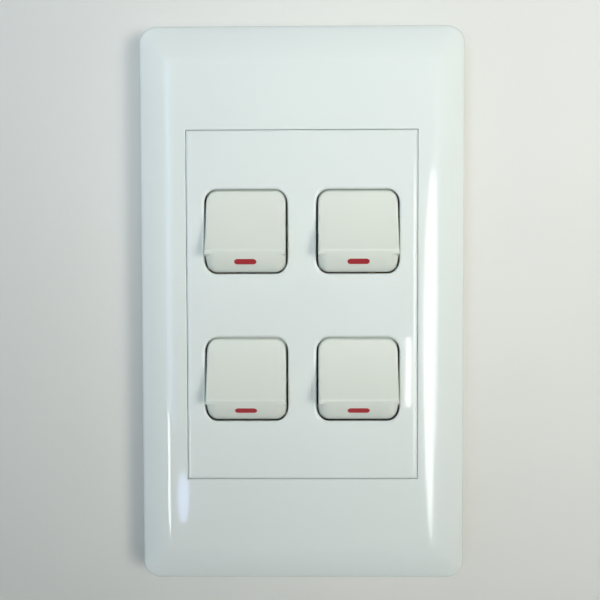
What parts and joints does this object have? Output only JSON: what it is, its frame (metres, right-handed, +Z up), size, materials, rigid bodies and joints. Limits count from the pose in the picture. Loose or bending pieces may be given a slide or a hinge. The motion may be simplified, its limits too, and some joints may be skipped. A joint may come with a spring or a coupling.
{
  "type": "light switch",
  "caption": "Rectangular wall light switch: clip-on white cover plate, flush centre plate, square rocker keys with red marks, steel mounting yoke, rear housing with screw terminals",
  "frame": {"origin": "centre of the wall-screw pattern, on the wall plane that the yoke and the cover's rim lie on", "axes": "+X to the right seen from the room, +Z up the wall, -Y out into the room; the rear housing is on +Y"},
  "size_m": [0.072, 0.0331, 0.1234],
  "materials": {
    "white_gloss": "glossy cool white moulding",
    "white_satin": "satin warm white moulding",
    "red_gloss": "red moulded insert",
    "housing_grey": "matt pale grey moulding",
    "nylon": "natural nylon",
    "plated_steel": "zinc-plated sheet",
    "spring_steel": "drawn spring wire",
    "copper": "stamped copper strip",
    "silver": "silver contact tip",
    "brass": "machined brass"
  },
  "bodies": {
    "switch_body": {"cover_plate": "white_gloss", "centre_plate": "white_gloss", "mounting_yoke": "plated_steel", "rear_housing": "housing_grey", "housing_screws": "plated_steel", "terminal_screws": "brass", "earth_screw": "brass", "fixed_contact_top_left": "silver", "common_terminal_top_left": "brass", "load_terminal_top_left": "brass", "fixed_contact_top_right": "silver", "common_terminal_top_right": "brass", "load_terminal_top_right": "brass", "fixed_contact_bottom_left": "silver", "common_terminal_bottom_left": "brass", "load_terminal_bottom_left": "brass", "fixed_contact_bottom_right": "silver", "common_terminal_bottom_right": "brass", "load_terminal_bottom_right": "brass"},
    "rocker_body_top_left": {"rocker_top_left": "white_satin", "marker_top_left": "red_gloss", "spring_top_left": "spring_steel"},
    "plunger_body_top_left": {"plunger_top_left": "nylon"},
    "bridge_body_top_left": {"bridge_top_left": "copper", "moving_contact_top_left": "silver"},
    "rocker_body_top_right": {"rocker_top_right": "white_satin", "marker_top_right": "red_gloss", "spring_top_right": "spring_steel"},
    "plunger_body_top_right": {"plunger_top_right": "nylon"},
    "bridge_body_top_right": {"bridge_top_right": "copper", "moving_contact_top_right": "silver"},
    "rocker_body_bottom_left": {"rocker_bottom_left": "white_satin", "marker_bottom_left": "red_gloss", "spring_bottom_left": "spring_steel"},
    "plunger_body_bottom_left": {"plunger_bottom_left": "nylon"},
    "bridge_body_bottom_left": {"bridge_bottom_left": "copper", "moving_contact_bottom_left": "silver"},
    "rocker_body_bottom_right": {"rocker_bottom_right": "white_satin", "marker_bottom_right": "red_gloss", "spring_bottom_right": "spring_steel"},
    "plunger_body_bottom_right": {"plunger_bottom_right": "nylon"},
    "bridge_body_bottom_right": {"bridge_bottom_right": "copper", "moving_contact_bottom_right": "silver"}
  },
  "joints": [
    {"name": "rocker_hinge_top_left", "type": "hinge", "parent": "switch_body", "child": "rocker_body_top_left", "pos_m": [-0.01225, -0.004, 0.0162], "axis": [1, 0, 0], "range_deg": [0, 16]},
    {"name": "plunger_slide_top_left", "type": "slide", "parent": "rocker_body_top_left", "child": "plunger_body_top_left", "axis": [0, -0.9903, 0.1392], "range_m": [0, 0.0006], "stiffness_N_per_m": 300, "springref_m": -0.003, "deforming": ["spring_top_left"]},
    {"name": "bridge_hinge_top_left", "type": "hinge", "parent": "switch_body", "child": "bridge_body_top_left", "pos_m": [-0.01225, 0.0089, 0.0162], "axis": [1, 0, 0], "range_deg": [-16, 0]},
    {"name": "rocker_hinge_top_right", "type": "hinge", "parent": "switch_body", "child": "rocker_body_top_right", "pos_m": [0.01225, -0.004, 0.0162], "axis": [1, 0, 0], "range_deg": [0, 16]},
    {"name": "plunger_slide_top_right", "type": "slide", "parent": "rocker_body_top_right", "child": "plunger_body_top_right", "axis": [0, -0.9903, 0.1392], "range_m": [0, 0.0006], "stiffness_N_per_m": 300, "springref_m": -0.003, "deforming": ["spring_top_right"]},
    {"name": "bridge_hinge_top_right", "type": "hinge", "parent": "switch_body", "child": "bridge_body_top_right", "pos_m": [0.01225, 0.0089, 0.0162], "axis": [1, 0, 0], "range_deg": [-16, 0]},
    {"name": "rocker_hinge_bottom_left", "type": "hinge", "parent": "switch_body", "child": "rocker_body_bottom_left", "pos_m": [-0.01225, -0.004, -0.0162], "axis": [1, 0, 0], "range_deg": [0, 16]},
    {"name": "plunger_slide_bottom_left", "type": "slide", "parent": "rocker_body_bottom_left", "child": "plunger_body_bottom_left", "axis": [0, -0.9903, 0.1392], "range_m": [0, 0.0006], "stiffness_N_per_m": 300, "springref_m": -0.003, "deforming": ["spring_bottom_left"]},
    {"name": "bridge_hinge_bottom_left", "type": "hinge", "parent": "switch_body", "child": "bridge_body_bottom_left", "pos_m": [-0.01225, 0.0089, -0.0162], "axis": [1, 0, 0], "range_deg": [-16, 0]},
    {"name": "rocker_hinge_bottom_right", "type": "hinge", "parent": "switch_body", "child": "rocker_body_bottom_right", "pos_m": [0.01225, -0.004, -0.0162], "axis": [1, 0, 0], "range_deg": [0, 16]},
    {"name": "plunger_slide_bottom_right", "type": "slide", "parent": "rocker_body_bottom_right", "child": "plunger_body_bottom_right", "axis": [0, -0.9903, 0.1392], "range_m": [0, 0.0006], "stiffness_N_per_m": 300, "springref_m": -0.003, "deforming": ["spring_bottom_right"]},
    {"name": "bridge_hinge_bottom_right", "type": "hinge", "parent": "switch_body", "child": "bridge_body_bottom_right", "pos_m": [0.01225, 0.0089, -0.0162], "axis": [1, 0, 0], "range_deg": [-16, 0]}
  ],
  "couplings": [
    {"joint": "bridge_hinge_top_left", "follows": "rocker_hinge_top_left", "ratio": -1},
    {"joint": "bridge_hinge_top_right", "follows": "rocker_hinge_top_right", "ratio": -1},
    {"joint": "bridge_hinge_bottom_left", "follows": "rocker_hinge_bottom_left", "ratio": -1},
    {"joint": "bridge_hinge_bottom_right", "follows": "rocker_hinge_bottom_right", "ratio": -1}
  ]
}
